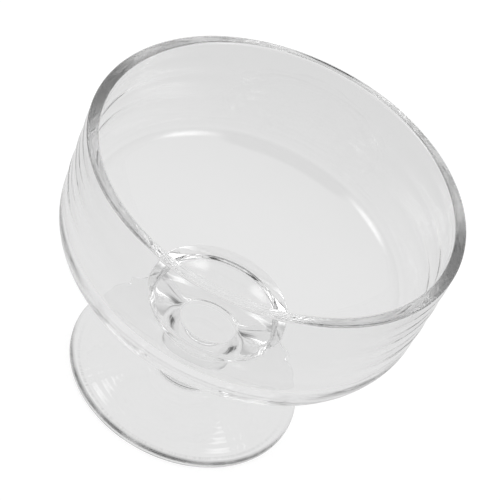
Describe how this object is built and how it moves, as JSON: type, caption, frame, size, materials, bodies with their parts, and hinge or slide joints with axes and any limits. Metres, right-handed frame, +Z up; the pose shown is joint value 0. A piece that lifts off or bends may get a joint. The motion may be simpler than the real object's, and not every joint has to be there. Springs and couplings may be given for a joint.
{
  "type": "footed dessert cup",
  "caption": "Clear pressed-glass dessert cup: a dished bowl with upright walls and a flat lip, on a short solid waisted stem and a round foot, for ice cream, fruit or pudding.",
  "frame": {"origin": "centre of the foot's underside, on the surface that the cup stands on", "axes": "+Z up along the axis that bowl, stem and foot are round about; X and Y are free, because the cup is round"},
  "size_m": [0.1, 0.1, 0.08],
  "materials": {
    "bowl_glass": "clear, fire polished",
    "stem_glass": "clear, fire polished",
    "foot_glass": "clear, faint mould texture"
  },
  "bodies": {
    "root": {"bowl": "bowl_glass", "stem": "stem_glass", "foot": "foot_glass"}
  },
  "joints": []
}
